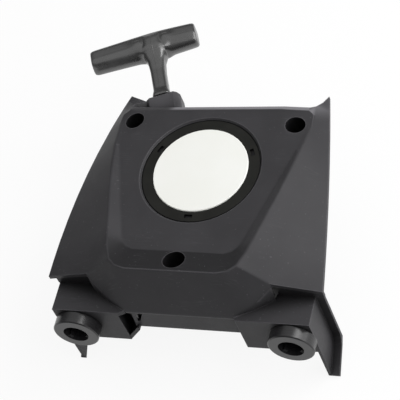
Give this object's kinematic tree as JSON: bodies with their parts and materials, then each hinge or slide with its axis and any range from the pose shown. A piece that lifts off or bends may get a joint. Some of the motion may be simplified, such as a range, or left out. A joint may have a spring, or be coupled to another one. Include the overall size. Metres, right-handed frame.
{
  "type": "recoil starter",
  "caption": "Pull-rope starter for a small engine: moulded cover with a recessed panel and blank badge, sprung rope reel, swinging pawls, T handle and flanged foot bushes.",
  "frame": {"origin": "on the crank axis, in the plane of the screw bosses that meet the engine", "axes": "+Z out of the front of the cover, +Y towards the rope outlet, +X to the right seen from the front"},
  "size_m": [0.2435, 0.2807, 0.1134],
  "materials": {
    "cover_plastic": "dark grey moulded plastic, fine grain",
    "ring_plastic": "near-black moulded ring",
    "label": "blank white disc",
    "bush_polymer": "smooth dark grey polymer",
    "grip_plastic": "smooth dark grey plastic",
    "reel_nylon": "black nylon",
    "rope_braid": "braided polyester rope",
    "bright_steel": "plated steel",
    "spring_steel": "blued spring steel",
    "eyelet_brass": "turned brass"
  },
  "bodies": {
    "cover": {"starter_housing": "cover_plastic", "badge_ring": "ring_plastic", "badge_disc": "label", "mount_bush_left": "bush_polymer", "mount_bush_right": "bush_polymer", "rope_eyelet": "eyelet_brass", "rope_lead": "rope_braid", "spring_case": "reel_nylon", "rewind_spring": "spring_steel", "spring_lid": "bright_steel", "post_sleeve": "bright_steel", "drag_spring": "spring_steel", "reel_washer": "bright_steel", "reel_screw": "bright_steel"},
    "handle": {"handle_grip": "grip_plastic", "handle_cap": "grip_plastic", "rope_end": "rope_braid"},
    "reel": {"rope_reel": "reel_nylon", "rope_winding": "rope_braid", "pawl_pin_a": "bright_steel", "pawl_pin_b": "bright_steel"},
    "guide": {"pawl_guide": "bright_steel"},
    "pawl_a": {"pawl_a": "spring_steel"},
    "pawl_b": {"pawl_b": "spring_steel"}
  },
  "joints": [
    {"name": "handle_pull", "type": "slide", "parent": "cover", "child": "handle", "axis": [-0.3746, 0.9272, 0], "range_m": [0, 0.66], "stiffness_N_per_m": 6, "springref_m": -1, "deforming": ["rope_lead"]},
    {"name": "reel_spin", "type": "hinge", "parent": "cover", "child": "reel", "pos_m": [0, 0, 0.0305], "axis": [0, 0, -1], "range_deg": [0, 1080]},
    {"name": "guide_drag", "type": "hinge", "parent": "reel", "child": "guide", "pos_m": [0, 0, 0.0177], "axis": [0, 0, 1], "range_deg": [0, 30]},
    {"name": "pawl_a_swing", "type": "hinge", "parent": "reel", "child": "pawl_a", "pos_m": [0.017, 0, 0.0225], "axis": [0, 0, 1], "range_deg": [0, 28]},
    {"name": "pawl_b_swing", "type": "hinge", "parent": "reel", "child": "pawl_b", "pos_m": [-0.017, 0, 0.0225], "axis": [0, 0, 1], "range_deg": [0, 28]}
  ],
  "couplings": [
    {"joint": "reel_spin", "follows": "handle_pull", "rad_per_m": 28.369},
    {"joint": "pawl_a_swing", "follows": "guide_drag", "ratio": 0.93333},
    {"joint": "pawl_b_swing", "follows": "guide_drag", "ratio": 0.93333}
  ]
}
